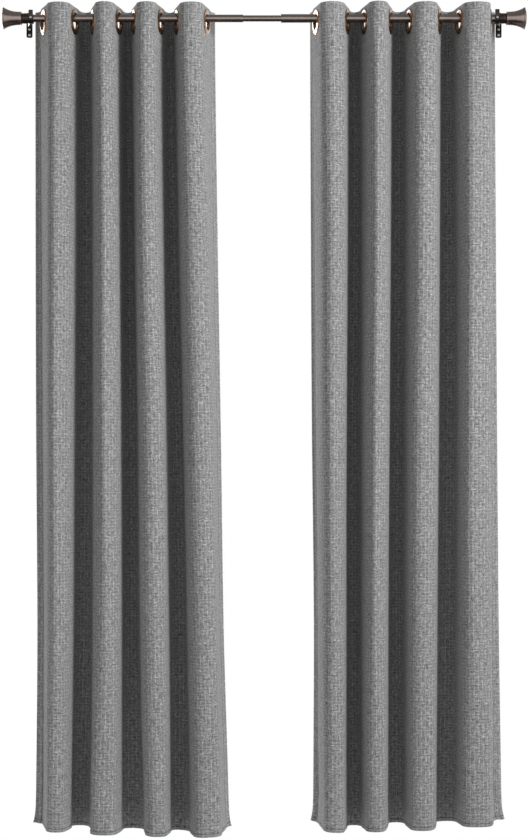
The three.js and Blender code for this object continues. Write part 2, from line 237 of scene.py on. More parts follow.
# Materials
class Shading:
    """Small helpers for building one node tree."""

    def __init__(self, tree):
        self.tree = tree

    def node(self, kind, **values):
        made = self.tree.nodes.new(kind)
        for key, value in values.items():
            setattr(made, key, value)
        return made

    def link(self, source, target):
        self.tree.links.new(source, target)

    def put(self, value, socket):
        if isinstance(value, bpy.types.NodeSocket):
            self.link(value, socket)
        else:
            socket.default_value = value

    def math(self, operation, first, second=0.0, clamp=False):
        made = self.node("ShaderNodeMath", operation=operation, use_clamp=clamp)
        self.put(first, made.inputs[0])
        self.put(second, made.inputs[1])
        return made.outputs[0]

    def mix(self, share, first, second):
        made = self.node("ShaderNodeMix", data_type="FLOAT")
        self.put(share, made.inputs["Factor"])
        self.put(first, made.inputs["A"])
        self.put(second, made.inputs["B"])
        return made.outputs["Result"]

    def mix_color(self, share, first, second):
        made = self.node("ShaderNodeMix", data_type="RGBA")
        self.put(share, made.inputs[0])
        self.put(first, made.inputs[6])
        self.put(second, made.inputs[7])
        return made.outputs[2]

    def vector(self, x, y, z=0.0):
        made = self.node("ShaderNodeCombineXYZ")
        for value, socket in zip((x, y, z), made.inputs):
            self.put(value, socket)
        return made.outputs[0]

    def noise(self, vector, scale, detail=2.0, roughness=0.5):
        made = self.node("ShaderNodeTexNoise")
        self.put(vector, made.inputs["Vector"])
        made.inputs["Scale"].default_value = scale
        made.inputs["Detail"].default_value = detail
        made.inputs["Roughness"].default_value = roughness
        return made.outputs["Fac"]

    def spread(self, value, low, high, to_low=0.0, to_high=1.0):
        made = self.node("ShaderNodeMapRange")
        self.put(value, made.inputs["Value"])
        for name, number in (
            ("From Min", low),
            ("From Max", high),
            ("To Min", to_low),
            ("To Max", to_high),
        ):
            made.inputs[name].default_value = number
        return made.outputs["Result"]


def new_group(name, inputs, outputs):
    group = bpy.data.node_groups.new(name, "ShaderNodeTree")
    for socket_name, socket_type in inputs:
        group.interface.new_socket(socket_name, in_out="INPUT", socket_type=socket_type)
    for socket_name, socket_type in outputs:
        group.interface.new_socket(socket_name, in_out="OUTPUT", socket_type=socket_type)
    shading = Shading(group)
    return group, shading, shading.node("NodeGroupInput"), shading.node("NodeGroupOutput")


def tweed_weave_group():
    """A plain weave of slubby heather yarns over cloth coordinates in metres."""
    group, shade, given, result = new_group(
        "tweed_weave",
        [("Cloth", "NodeSocketVector")],
        [("Tone", "NodeSocketFloat"), ("Height", "NodeSocketFloat")],
    )
    split = shade.node("ShaderNodeSeparateXYZ")
    shade.link(given.outputs["Cloth"], split.inputs[0])
    across, down = split.outputs[0], split.outputs[1]
    warp = shade.math("MULTIPLY", across, 1 / WARP_PITCH)
    weft = shade.math("MULTIPLY", down, 1 / WEFT_PITCH)
    warp_yarn, weft_yarn = shade.math("FLOOR", warp), shade.math("FLOOR", weft)
    warp_across, weft_across = shade.math("FRACT", warp), shade.math("FRACT", weft)
    over = shade.math("MODULO", shade.math("ADD", warp_yarn, weft_yarn), 2.0)

    # Every yarn has its own run of dark and light fibres.
    warp_run = shade.noise(
        shade.vector(shade.math("MULTIPLY", warp_yarn, 3.37), shade.math("MULTIPLY", down, 95.0)), 1.0, 2.0
    )
    weft_run = shade.noise(
        shade.vector(shade.math("MULTIPLY", across, 80.0), shade.math("MULTIPLY", weft_yarn, 3.71), 7.0),
        1.0,
        2.0,
    )
    yarn_tone = shade.mix(over, warp_run, weft_run)
    tone = shade.spread(yarn_tone, 0.30, 0.70, -1.0, 1.0)

    # Slubs: thick soft places in the yarns, longer across the panel than down it.
    across_slub = shade.noise(
        shade.vector(shade.math("MULTIPLY", across, 85.0), shade.math("MULTIPLY", down, 340.0), 3.0), 1.0, 1.0
    )
    down_slub = shade.noise(
        shade.vector(shade.math("MULTIPLY", across, 260.0), shade.math("MULTIPLY", down, 60.0), 5.0), 1.0, 1.0
    )
    across_slub = shade.spread(across_slub, 0.34, 0.68, -1.0, 1.0)
    down_slub = shade.spread(down_slub, 0.34, 0.68, -1.0, 1.0)
    fleck = shade.spread(shade.noise(given.outputs["Cloth"], 190.0, 3.0, 0.6), 0.35, 0.65, -1.0, 1.0)
    mottle = shade.spread(shade.noise(given.outputs["Cloth"], 16.0, 3.0, 0.6), 0.3, 0.7, -1.0, 1.0)
    total = shade.math("MULTIPLY", tone, 0.46)
    # Every fourth warp yarn and every third weft yarn is paler.
    thick_warp = shade.math("COMPARE", shade.math("MODULO", warp_yarn, 4.0), 1.0)
    rib = shade.spread(thick_warp, 0.0, 1.0, -0.33, 1.0)
    thick_weft = shade.math("COMPARE", shade.math("MODULO", weft_yarn, 3.0), 1.0)
    bar = shade.spread(thick_weft, 0.0, 1.0, -0.5, 1.0)
    parts = (
        (across_slub, 0.32),
        (down_slub, 0.24),
        (fleck, 0.14),
        (mottle, 0.03),
        (rib, 0.21),
        (bar, 0.13),
    )
    for part, weight in parts:
        total = shade.math("ADD", total, shade.math("MULTIPLY", part, weight))
    # A thin shadow lies in the gaps between yarns.
    gap_across = shade.math("POWER", shade.math("ABSOLUTE", shade.math("SUBTRACT", warp_across, 0.5)), 3.0)
    gap_down = shade.math("POWER", shade.math("ABSOLUTE", shade.math("SUBTRACT", weft_across, 0.5)), 3.0)
    gap = shade.math("MULTIPLY", shade.math("ADD", gap_across, gap_down), 1.7)
    shade.link(shade.math("SUBTRACT", total, gap), result.inputs["Tone"])

    warp_round = shade.math("SINE", shade.math("MULTIPLY", warp_across, math.pi))
    weft_round = shade.math("SINE", shade.math("MULTIPLY", weft_across, math.pi))
    warp_top = shade.math("MULTIPLY", warp_round, shade.spread(weft_round, 0.0, 1.0, 0.55, 1.0))
    weft_top = shade.math("MULTIPLY", weft_round, shade.spread(warp_round, 0.0, 1.0, 0.55, 1.0))
    height = shade.mix(over, warp_top, weft_top)
    height = shade.math("ADD", height, shade.math("MULTIPLY", across_slub, 0.35))
    height = shade.math("ADD", height, shade.math("MULTIPLY", down_slub, 0.22))
    shade.link(height, result.inputs["Height"])
    return group


def patina_group():
    """Uneven oil-rubbed bronze: cloudy tone, fine brushing, and bared metal where edges rub."""
    group, shade, given, result = new_group(
        "patina",
        [("Dark", "NodeSocketColor"), ("Bare", "NodeSocketColor"), ("Wear", "NodeSocketFloat")],
        [("Color", "NodeSocketColor"), ("Roughness", "NodeSocketFloat"), ("Height", "NodeSocketFloat")],
    )
    place = shade.node("ShaderNodeTexCoord").outputs["Object"]
    cloud = shade.noise(place, 55.0, 5.0, 0.62)
    grain = shade.noise(place, 900.0, 2.0, 0.5)
    split = shade.node("ShaderNodeSeparateXYZ")
    shade.link(place, split.inputs[0])
    brushed = shade.noise(
        shade.vector(
            shade.math("MULTIPLY", split.outputs[0], 2600.0),
            shade.math("MULTIPLY", split.outputs[1], 160.0),
            shade.math("MULTIPLY", split.outputs[2], 160.0),
        ),
        1.0,
        2.0,
    )
    edge = shade.math("MULTIPLY", given.outputs["Wear"], shade.spread(cloud, 0.35, 0.65, 0.25, 1.0))
    rubbed = shade.math("ADD", edge, shade.spread(cloud, 0.52, 0.78, 0.0, 0.35), clamp=True)
    shade.link(
        shade.mix_color(rubbed, given.outputs["Dark"], given.outputs["Bare"]), result.inputs["Color"]
    )
    cloudy, streaked = shade.spread(cloud, 0.3, 0.7, 0.20, 0.30), shade.spread(brushed, 0.3, 0.7, -0.03, 0.03)
    shade.link(shade.math("ADD", cloudy, streaked), result.inputs["Roughness"])
    height = shade.math("ADD", shade.math("MULTIPLY", grain, 0.4), shade.math("MULTIPLY", brushed, 0.6))
    shade.link(height, result.inputs["Height"])
    return group


def new_material(name):
    material = bpy.data.materials.new(name)
    material.use_nodes = True
    shade = Shading(material.node_tree)
    return material, shade, material.node_tree.nodes["Principled BSDF"]


def bump(shade, surface, height, strength, distance):
    made = shade.node("ShaderNodeBump")
    made.inputs["Strength"].default_value = strength
    made.inputs["Distance"].default_value = distance
    shade.link(height, made.inputs["Height"])
    shade.link(made.outputs[0], surface.inputs["Normal"])


def seam_shade_mask(shade, cloth, length):
    """A mask of painted shade: narrow dark lines along the side hems and the bottom hem, where they are sewn
    down.
    """
    split = shade.node("ShaderNodeSeparateXYZ")
    shade.link(cloth, split.inputs[0])
    half_width = PANEL_WIDTH / 2
    from_middle = shade.math("ABSOLUTE", shade.math("SUBTRACT", split.outputs[0], half_width))
    mask = 0.0
    for value, line in (
        (from_middle, half_width - SIDE_HEM),
        (split.outputs[1], length - BOTTOM_HEM),
    ):
        away = shade.math("ABSOLUTE", shade.math("SUBTRACT", value, line))
        mask = shade.math("MAXIMUM", mask, shade.spread(away, 0.0024, 0.0008))
    return mask


def tweed_material(weave, length):
    material, shade, surface = new_material("tweed_cloth")
    cloth = shade.node("ShaderNodeUVMap", uv_map="cloth")
    woven = shade.node("ShaderNodeGroup", node_tree=weave)
    shade.link(cloth.outputs[0], woven.inputs["Cloth"])
    ramp = shade.node("ShaderNodeValToRGB")
    stops = ramp.color_ramp.elements
    stops[0].position, stops[0].color = 0.0, (0.055, 0.055, 0.055, 1)
    stops[1].position, stops[1].color = 1.0, (0.60, 0.60, 0.60, 1)
    middle = stops.new(0.5)
    middle.color = (0.252, 0.252, 0.252, 1)
    # Painted shade: the cloth's tone is darkened in a thin line along the hem seams.
    painted_seam_shade = shade.math("MULTIPLY", seam_shade_mask(shade, cloth.outputs[0], length), 0.6)
    tone = shade.math("SUBTRACT", woven.outputs["Tone"], painted_seam_shade)
    shade.link(shade.spread(tone, -1.15, 1.15), ramp.inputs[0])
    shade.link(ramp.outputs[0], surface.inputs["Base Color"])
    surface.inputs["Roughness"].default_value = 0.92
    surface.inputs["Specular IOR Level"].default_value = 0.18
    surface.inputs["Sheen Weight"].default_value = 0.25
    surface.inputs["Sheen Roughness"].default_value = 0.6
    bump(shade, surface, woven.outputs["Height"], 0.7, 0.0006)
    return material


def thread_material():
    material, shade, surface = new_material("sewing_thread")
    place = shade.node("ShaderNodeTexCoord").outputs["Object"]
    twist = shade.node("ShaderNodeTexWave", wave_type="BANDS", bands_direction="DIAGONAL")
    shade.link(place, twist.inputs["Vector"])
    twist.inputs["Scale"].default_value = 900.0
    twist.inputs["Distortion"].default_value = 1.5
    tone = shade.noise(place, 130.0, 2.0)
    shade.link(
        shade.mix_color(tone, (0.34, 0.34, 0.342, 1), (0.62, 0.62, 0.615, 1)), surface.inputs["Base Color"]
    )
    surface.inputs["Roughness"].default_value = 0.7
    bump(shade, surface, twist.outputs["Fac"], 0.5, 0.0002)
    return material


def bronze_material(name, patina, dark, bare, metallic):
    material, shade, surface = new_material(name)
    worn = shade.node("ShaderNodeAttribute", attribute_name="wear")
    aged = shade.node("ShaderNodeGroup", node_tree=patina)
    aged.inputs["Dark"].default_value = (*dark, 1)
    aged.inputs["Bare"].default_value = (*bare, 1)
    shade.link(worn.outputs["Fac"], aged.inputs["Wear"])
    shade.link(aged.outputs["Color"], surface.inputs["Base Color"])
    shade.link(aged.outputs["Roughness"], surface.inputs["Roughness"])
    surface.inputs["Metallic"].default_value = metallic
    bump(shade, surface, aged.outputs["Height"], 0.25, 0.0002)
    return material


def nylon_material():
    material, shade, surface = new_material("moulded_nylon")
    place = shade.node("ShaderNodeTexCoord").outputs["Object"]
    speckle = shade.noise(place, 1400.0, 2.0)
    shade.link(
        shade.mix_color(speckle, (0.020, 0.019, 0.018, 1), (0.040, 0.038, 0.036, 1)),
        surface.inputs["Base Color"],
    )
    surface.inputs["Roughness"].default_value = 0.6
    bump(shade, surface, speckle, 0.3, 0.0001)
    return material


def steel_material():
    material, shade, surface = new_material("zinc_plated_steel")
    place = shade.node("ShaderNodeTexCoord").outputs["Object"]
    cloud = shade.noise(place, 700.0, 3.0)
    shade.link(
        shade.mix_color(cloud, (0.62, 0.61, 0.58, 1), (0.78, 0.78, 0.76, 1)), surface.inputs["Base Color"]
    )
    shade.link(shade.spread(cloud, 0.3, 0.7, 0.24, 0.42), surface.inputs["Roughness"])
    surface.inputs["Metallic"].default_value = 1.0
    bump(shade, surface, cloud, 0.2, 0.0001)
    return material


# The panels' cloth
def smooth_step(value):
    value = np.clip(value, 0.0, 1.0)
    return value * value * (3 - 2 * value)


def at_height(values, share):
    """A smooth curve through values at even steps from header to hem."""
    values = np.array(values, float).reshape(len(values), 1, -1)
    found = resampled(values, np.array([share * (len(values) - 1)]))[0, 0]
    return found if len(found) > 1 else found[0]


def quarter_depth(across, length):
    """Depth of a quarter of an ellipse of that length which is across wide."""
    low, high = 0.001, length
    for _ in range(40):
        deep = (low + high) / 2
        around = math.pi / 4 * (3 * (across + deep) - math.sqrt((3 * across + deep) * (across + 3 * deep)))
        if around > length:
            high = deep
        else:
            low = deep
    return (low + high) / 2


def fold_arc(wide, length, crest, crease, boxy):
    """A fold's line seen from above, from one wall to the next: (across, depth) for its length of cloth."""
    angle = np.linspace(0, math.pi, 46)[1:-1]
    power = 2 / (2 + boxy)
    rounded = np.sign(np.cos(angle)) * np.abs(np.cos(angle)) ** power
    crown = np.sin(angle) ** power
    rise = 1 - np.abs(1 - angle / (math.pi / 2))
    ridge = np.where(angle < math.pi / 2, 1 + (crest - 1) * rise, (crest + 1) * rise - 1)
    across = wide * ((1 - crease) * (rounded + crest * crown**2) + crease * ridge)
    depth = (1 - crease) * crown + crease * rise
    across_steps = np.diff(across, prepend=wide, append=-wide)
    depth_steps = np.diff(depth, prepend=0, append=0)
    low, high = 0.001, length
    for _ in range(24):
        deep = (low + high) / 2
        if np.hypot(across_steps, deep * depth_steps).sum() > length:
            high = deep
        else:
            low = deep
    return across, depth * low


class Panel:
    """One panel: where every point of its cloth hangs."""

    def __init__(self, name):
        self.name = name
        self.shape = PANELS[name]
        self.side = self.shape["side"]
        rings = [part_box(f"{name}_grommet_{number + 1}") for number in range(GROMMET_COUNT)]
        self.header = np.array([abs(low.x + high.x) / 2 for low, high in rings])
        self.grommet_z = (rings[0][0].z + rings[0][1].z) / 2
        lowest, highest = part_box(f"{name}_panel_pleat_1")
        self.top = highest.z
        self.length = highest.z - lowest.z
        self.grommet_down = self.top - self.grommet_z
        self.settled = None

    def grommet_across(self, index):
        return EDGE_MARGIN + index * GROMMET_PITCH

    def body(self, index):
        return f"{self.name}_pleat_{index + 1}"

    def walls(self, down):
        share = min(max((down - HEADER_END) / (self.length - HEADER_END), 0.0), 1.0)
        walls = at_height([self.header, *self.shape["walls"]], share)
        number = np.arange(GROMMET_COUNT)
        sway = np.sin(2 * math.pi * (1.15 * share + 0.31 * number) + self.shape["phase"])
        ripple = np.sin(2 * math.pi * (2.7 * share + 0.57 * number) + 2 * self.shape["phase"])
        walls = walls + share * (1 - 0.75 * share) * (0.0030 * sway + 0.0016 * ripple)
        # The stiff corners of the hem kick out.
        flare = 0.007 * math.exp(-(self.length - down) / 0.020)
        outer = at_height(self.shape["outer_edge"], share) + flare
        lead = at_height(self.shape["lead_edge"], share) - flare
        return share, walls, outer, lead

    def tilt(self, index):
        return self.shape["outer_tilt"] if index == 0 else WALL_TILT

    def row_line(self, down):
        """The cloth seen from above at one height, in even steps: (distance, depth in front of the rod)."""
        share, walls, outer, lead = self.walls(down)
        flat = FLAT_AT_HEADER - FLAT_LOST_BELOW * smooth_step((down - 0.075) / 0.9)
        eased = 1 - 0.45 * smooth_step((down - HEADER_END) / 0.9)
        tilts = [self.tilt(index) * eased for index in range(GROMMET_COUNT)]
        lean = [flat * math.sin(tilt) for tilt in tilts]
        reach = [flat * math.cos(tilt) for tilt in tilts]
        pieces = []
        edge_length = EDGE_MARGIN - flat

        def turned_edge(start, end, behind):
            deep = quarter_depth(abs(end - start), edge_length)
            angle = np.linspace(0, math.pi / 2, 30)
            distance = start + (end - start) * (1 - np.cos(angle))
            return np.stack([distance, -behind - deep * np.sin(angle)], 1)

        pieces.append(turned_edge(walls[0] + lean[0], outer, reach[0])[::-1])
        for index in range(GROMMET_COUNT):
            front = 1 if index % 2 == 0 else -1
            along = np.linspace(-1, 1, 14)
            pieces.append(np.stack([walls[index] - lean[index] * along, front * reach[index] * along], 1))
            if index == GROMMET_COUNT - 1:
                break
            start, end = walls[index] - lean[index], walls[index + 1] + lean[index + 1]
            lopsided = 0.10 * math.sin(3.1 * index + 1.7 * share * math.pi + self.shape["phase"]) * share
            place, crease = self.shape["creases"][index // 2] if front > 0 else (0.5, 0.0)
            pressed = smooth_step((down - 0.02) / 0.15) * (1 - smooth_step((share - 0.62) / 0.33))
            crest = -self.side * (1 - 2 * place) * pressed + lopsided
            boxy = 0.8 * smooth_step((share - 0.72) / 0.28)
            free_length = GROMMET_PITCH - 2 * flat
            across, depth = fold_arc((start - end) / 2, free_length, crest, crease * pressed, boxy)
            rooted = np.linspace(reach[index], reach[index + 1], len(depth))
            pieces.append(np.stack([(start + end) / 2 + across, front * (rooted + depth)], 1))
        pieces.append(turned_edge(walls[-1] - lean[-1], lead, reach[-1]))
        line = np.concatenate(pieces)
        length = np.concatenate([[0], np.cumsum(np.hypot(*np.diff(line, axis=0).T))])
        even = np.linspace(0, length[-1], round(PANEL_WIDTH / LINE_STEP) + 1)
        line = np.stack([np.interp(even, length, line[:, axis]) for axis in (0, 1)], 1)
        return smoothed(line, 0.0055 / LINE_STEP)

    def surface(self, across, down):
        """Points of the middle of the cloth: rows of down, columns of across."""
        steps = np.linspace(0, PANEL_WIDTH, round(PANEL_WIDTH / LINE_STEP) + 1)
        keys = np.array([0, *[k * GROMMET_PITCH for k in range(1, GROMMET_COUNT)], PANEL_WIDTH])
        points = np.zeros((len(down), len(across), 3))
        rise = smoothed(np.interp(steps, keys, self.shape["hem_rise"])[:, None], 20)[:, 0]
        rise = np.interp(across, steps, rise)
        for row, below in enumerate(down):
            line = self.row_line(below)
            share = below / self.length
            points[row, :, 0] = self.side * np.interp(across, steps, line[:, 0])
            points[row, :, 1] = ROD_Y - np.interp(across, steps, line[:, 1])
            points[row, :, 2] = self.top - below + rise * share**2
        if self.settled is not None:
            points += self.settled_at(across, down)
        # Slack in the stitched side hems shows as short ripples towards the floor.
        inset = np.minimum(across, PANEL_WIDTH - across)
        waves = np.sin(2 * math.pi * inset / 0.026 + self.shape["phase"]) * np.exp(-((inset / 0.045) ** 2))
        points[:, :, 1] += 0.0030 * smooth_step((down - 1.35) / 0.75)[:, None] * waves[None, :]
        return points

    def settled_at(self, across, down):
        rows, columns, _ = self.settled.shape
        by_row = resampled(self.settled, down / self.length * (rows - 1))
        return resampled(by_row.transpose(1, 0, 2), across / PANEL_WIDTH * (columns - 1)).transpose(1, 0, 2)


def smoothed(values, sigma):
    """A Gaussian average along the first axis that leaves the two ends where they are."""
    reach = max(1, math.ceil(3 * sigma))
    kernel = np.exp(-0.5 * (np.arange(-reach, reach + 1) / sigma) ** 2)
    kernel /= kernel.sum()
    first = 2 * values[0] - values[reach:0:-1]
    last = 2 * values[-1] - values[-2 : -reach - 2 : -1]
    padded = np.concatenate([first, values, last])
    return np.stack([np.convolve(padded[:, axis], kernel, "valid") for axis in range(values.shape[1])], 1)


def resampled(values, places):
    """Cubic interpolation along the first axis at fractional places."""
    last = len(values) - 1
    base = np.clip(np.floor(places).astype(int), 0, last - 1)
    t = (places - base)[:, None, None]
    before, here = values[np.maximum(base - 1, 0)], values[base]
    there, beyond = values[base + 1], values[np.minimum(base + 2, last)]
    return 0.5 * (
        2 * here
        + (there - before) * t
        + (2 * before - 5 * here + 4 * there - beyond) * t**2
        + (3 * here - before - 3 * there + beyond) * t**3
    )


def grid_faces(rows, columns):
    row, column = np.meshgrid(np.arange(rows - 1), np.arange(columns - 1), indexing="ij")
    corner = (row * columns + column).ravel()
    return np.stack([corner, corner + columns, corner + columns + 1, corner + 1], 1)


def let_hang(panel, rows=86, columns=128, frames=22):
    """Lets the cloth hang from its grommets under its own weight, and keeps how each fold settled."""
    across = np.linspace(0, PANEL_WIDTH, columns)
    down = np.linspace(0, panel.length, rows)
    start = panel.surface(across, down)
    mesh = mesh_of(f"{panel.name}_hanging", start.reshape(-1, 3), grid_faces(rows, columns).tolist())
    cloth = piece_of(f"{panel.name}_hanging", mesh)
    held = cloth.vertex_groups.new(name="held")
    for row, below in enumerate(down):
        weight = 1.0 if below < HEADER_DEPTH else 0.03 + 0.5 * math.exp(-(below - HEADER_DEPTH) / 0.12)
        held.add(list(range(row * columns, (row + 1) * columns)), weight, "REPLACE")
    hanging = cloth.modifiers.new("hang", "CLOTH")
    settings = hanging.settings
    settings.quality = 7
    settings.mass = 0.25
    settings.tension_stiffness = 90
    settings.compression_stiffness = 60
    settings.shear_stiffness = 8
    settings.bending_stiffness = 1.2
    settings.air_damping = 2.0
    settings.vertex_group_mass = "held"
    settings.pin_stiffness = 0.6
    hanging.collision_settings.use_collision = False
    hanging.collision_settings.use_self_collision = False
    hanging.point_cache.frame_start = 1
    hanging.point_cache.frame_end = frames
    for number in range(1, frames + 1):
        scene.frame_set(number)
    hung = evaluated_mesh(cloth)
    points = np.zeros(len(hung.vertices) * 3)
    hung.vertices.foreach_get("co", points)
    moved = points.reshape(rows, columns, 3) - start
    bpy.data.objects.remove(cloth)
    scene.frame_set(1)
    # Only movement of a fold's own size is kept. The lean of the whole panel is taken off.
    by_column = moved.transpose(1, 0, 2).reshape(columns, -1)
    lean = smoothed(by_column, 10).reshape(columns, rows, 3).transpose(1, 0, 2)
    moved = np.clip(moved - lean, -SETTLE_LIMIT, SETTLE_LIMIT)
    panel.settled = moved * smooth_step((down - 0.09) / 0.25)[:, None, None]


def cloth_columns():
    edge = [0.0, 0.0025, 0.008, 0.0135, 0.019, SIDE_HEM - 0.0012, SIDE_HEM + 0.0008]
    inside = np.linspace(SIDE_HEM + 0.006, PANEL_WIDTH - SIDE_HEM - 0.006, 214)
    return np.array([*edge, *inside, *[PANEL_WIDTH - x for x in reversed(edge)]])


def cloth_rows(length):
    header = np.linspace(0.0065, HEADER_DEPTH - 0.005, 18)
    body = np.linspace(HEADER_DEPTH + 0.008, length - 0.026, 140)
    return np.array(
        [
            0.0,
            0.002,
            *header,
            HEADER_DEPTH - 0.0012,
            HEADER_DEPTH + 0.0008,
            *body,
            length - 0.016,
            length - BOTTOM_HEM - 0.0010,
            length - BOTTOM_HEM + 0.0008,
            length - 0.004,
            length - 0.0012,
            length,
        ]
    )


def cloth_half_thickness(across, down, length):
    """Half the cloth's thickness: more where the header and hems are turned over and sewn."""
    header = down[:, None] < HEADER_DEPTH
    side = (across[None, :] < SIDE_HEM) | (across[None, :] > PANEL_WIDTH - SIDE_HEM)
    bottom = down[:, None] > length - BOTTOM_HEM
    half = np.where(header | side | bottom, HEMMED_HALF, CLOTH_HALF)
    rounded = np.minimum(across, PANEL_WIDTH - across)[None, :] < 0.001
    rounded = rounded | (np.minimum(down, length - down)[:, None] < 0.0006)
    return np.where(rounded, half * 0.6, half)


def cloth_normals(points):
    along_down, along_across = np.gradient(points, axis=0), np.gradient(points, axis=1)
    normals = np.cross(along_down, along_across)
    return normals / np.linalg.norm(normals, axis=2, keepdims=True)


def panel_cloth(panel, material):
    across, down = cloth_columns(), cloth_rows(panel.length)
    points = panel.surface(across, down)
    normals = cloth_normals(points)

    # The hems draw up a little between stitches.
    random = np.random.default_rng(7 if panel.name == "left" else 11)
    pucker = smoothed(random.normal(0, 1, (len(down), 1)), 1.2)[:, 0] * 0.0009
    near_side = np.exp(-(((np.minimum(across, PANEL_WIDTH - across) - SIDE_HEM) / 0.012) ** 2))
    points += normals * (pucker[:, None] * near_side[None, :])[:, :, None]
    pucker = smoothed(random.normal(0, 1, (len(across), 1)), 1.5)[:, 0] * 0.0012
    near_hem = np.exp(-(((panel.length - down - BOTTOM_HEM) / 0.016) ** 2))
    points += normals * (near_hem[:, None] * pucker[None, :])[:, :, None]

    # A round hole for each grommet.
    cell_across, cell_down = (across[1:] + across[:-1]) / 2, (down[1:] + down[:-1]) / 2
    kept = np.ones((len(down) - 1, len(across) - 1), bool)
    for index in range(GROMMET_COUNT):
        centre = panel.grommet_across(index)
        far = np.hypot(cell_across[None, :] - centre, cell_down[:, None] - panel.grommet_down)
        kept &= far > HOLE_RADIUS - 0.001
    corners = grid_faces(len(down), len(across))[kept.ravel()]
    edges = np.concatenate([corners[:, [0, 1]], corners[:, [1, 2]], corners[:, [2, 3]], corners[:, [3, 0]]])
    codes = edges[:, 0].astype(np.int64) * 10**6 + edges[:, 1]
    backwards = edges[:, 1].astype(np.int64) * 10**6 + edges[:, 0]
    rim = edges[~np.isin(codes, backwards)]
    flat = points.reshape(-1, 3)
    place = np.stack(np.meshgrid(across, down), 2).reshape(-1, 2)
    for index in range(GROMMET_COUNT):
        centre = np.array([panel.grommet_across(index), panel.grommet_down])
        middle = panel.surface(centre[:1], centre[1:])[0, 0]
        rim_points = np.unique(rim)
        offset = place[rim_points] - centre
        radius = np.hypot(*offset.T)
        around = rim_points[radius < GROMMET_RADIUS]
        scale = (HOLE_RADIUS / radius[radius < GROMMET_RADIUS])[:, None]
        flat[around] = middle + (flat[around] - middle) * scale
        place[around] = centre + (place[around] - centre) * scale

    half = cloth_half_thickness(across, down, panel.length).reshape(-1, 1)
    normals = cloth_normals(points).reshape(-1, 3)
    if panel.side > 0:
        normals = -normals
        corners, rim = corners[:, ::-1], rim[:, ::-1]
    front, back = flat + normals * half, flat - normals * half
    count = len(flat)
    faces = np.concatenate(
        [
            corners,
            corners[:, ::-1] + count,
            np.stack([rim[:, 1], rim[:, 0], rim[:, 0] + count, rim[:, 1] + count], 1),
        ]
    )
    used = np.unique(faces)
    renumbered = np.zeros(2 * count, int)
    renumbered[used] = np.arange(len(used))
    mesh = mesh_of(
        f"{panel.name}_panel_cloth",
        np.concatenate([front, back])[used],
        renumbered[faces].tolist(),
    )
    loops = np.zeros(len(mesh.loops), int)
    mesh.loops.foreach_get("vertex_index", loops)
    layer = mesh.uv_layers.new(name="cloth")
    layer.data.foreach_set("uv", np.concatenate([place, place])[used][loops].astype(np.float32).ravel())
    mesh.materials.append(material)
    cloth = piece_of(f"{panel.name}_panel_cloth", mesh)
    bend_with_panel(cloth, panel)
    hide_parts(*[f"{panel.name}_panel_pleat_{number + 1}" for number in range(GROMMET_COUNT)])
    return cloth, (across, down, flat.reshape(points.shape), normals.reshape(points.shape), half)


def bend_with_panel(piece, panel):
    panel.body(0)
    panel.body(GROMMET_COUNT - 1)
    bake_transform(piece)


# Stitches
def stitch_tree():
    """Lays short thread stitches along every edge line of the mesh that it is given."""
    tree = bpy.data.node_groups.new("sewn_line", "GeometryNodeTree")
    inputs = [
        ("Geometry", "NodeSocketGeometry"),
        ("Spacing", "NodeSocketFloat"),
        ("Stitch Length", "NodeSocketFloat"),
        ("Thread Width", "NodeSocketFloat"),
        ("Thread", "NodeSocketMaterial"),
    ]
    for name, kind in inputs:
        tree.interface.new_socket(name, in_out="INPUT", socket_type=kind)
    tree.interface.new_socket("Geometry", in_out="OUTPUT", socket_type="NodeSocketGeometry")
    made = Shading(tree)
    given, result = made.node("NodeGroupInput"), made.node("NodeGroupOutput")
    curve = made.node("GeometryNodeMeshToCurve")
    spaced = made.node("GeometryNodeResampleCurve", mode="LENGTH")
    bead = made.node("GeometryNodeMeshUVSphere")
    bead.inputs["Segments"].default_value = 6
    bead.inputs["Rings"].default_value = 4
    bead.inputs["Radius"].default_value = 0.5
    tangent = made.node("GeometryNodeInputTangent")
    turn = made.node("FunctionNodeAlignRotationToVector", axis="X")
    size = made.node("ShaderNodeCombineXYZ")
    uneven = made.node("FunctionNodeRandomValue", data_type="FLOAT")
    uneven.inputs[2].default_value = 0.85
    uneven.inputs[3].default_value = 1.12
    uneven.inputs["Seed"].default_value = 5
    place = made.node("GeometryNodeInstanceOnPoints")
    real = made.node("GeometryNodeRealizeInstances")
    finish = made.node("GeometryNodeSetMaterial")
    smooth = made.node("GeometryNodeSetShadeSmooth")
    made.link(given.outputs["Geometry"], curve.inputs["Mesh"])
    made.link(curve.outputs["Curve"], spaced.inputs["Curve"])
    made.link(given.outputs["Spacing"], spaced.inputs["Length"])
    made.link(spaced.outputs["Curve"], place.inputs["Points"])
    made.link(bead.outputs["Mesh"], place.inputs["Instance"])
    made.link(tangent.outputs[0], turn.inputs["Vector"])
    made.link(turn.outputs[0], place.inputs["Rotation"])
    length = made.math("MULTIPLY", given.outputs["Stitch Length"], uneven.outputs[1])
    made.link(length, size.inputs[0])
    made.link(given.outputs["Thread Width"], size.inputs[1])
    made.link(given.outputs["Thread Width"], size.inputs[2])
    made.link(size.outputs[0], place.inputs["Scale"])
    made.link(place.outputs["Instances"], real.inputs["Geometry"])
    made.link(real.outputs["Geometry"], smooth.inputs["Geometry"])
    made.link(smooth.outputs["Geometry"], finish.inputs["Geometry"])
    made.link(given.outputs["Thread"], finish.inputs["Material"])
    made.link(finish.outputs["Geometry"], result.inputs["Geometry"])
    return tree


